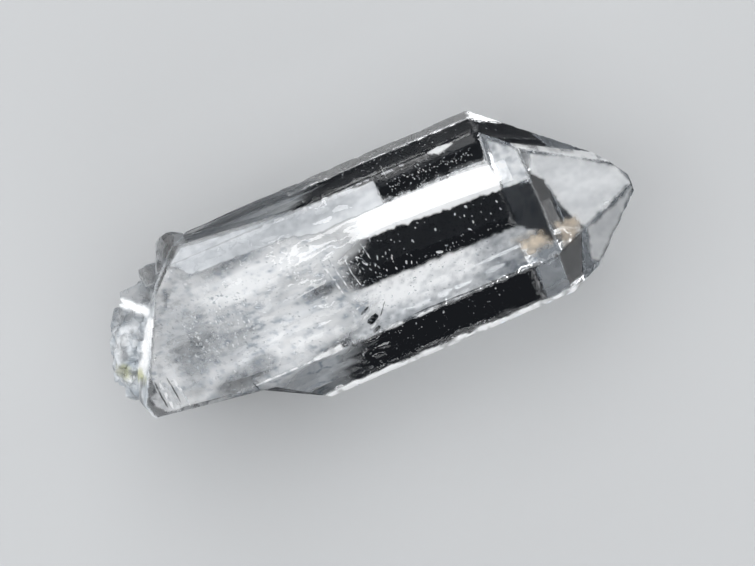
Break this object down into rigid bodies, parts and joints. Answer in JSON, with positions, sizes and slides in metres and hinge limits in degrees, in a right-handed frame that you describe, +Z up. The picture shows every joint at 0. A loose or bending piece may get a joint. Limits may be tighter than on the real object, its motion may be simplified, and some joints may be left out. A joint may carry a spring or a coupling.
{
  "type": "quartz crystal",
  "caption": "Natural clear quartz crystal, a six-sided prism with a pointed end and a milky, sugary broken root, lying on one prism face.",
  "frame": {"origin": "middle of the crystal's bounding box, at the bottom, where it lies on a narrow prism face", "axes": "+X along the crystal from the root to the tip, +Z up"},
  "size_m": [0.0576, 0.022, 0.019],
  "materials": {
    "quartz": "natural crystal faces: clear and glossy at the pointed end, milky and frosted towards the root"
  },
  "bodies": {
    "root": {"quartz_crystal": "quartz"}
  },
  "joints": []
}
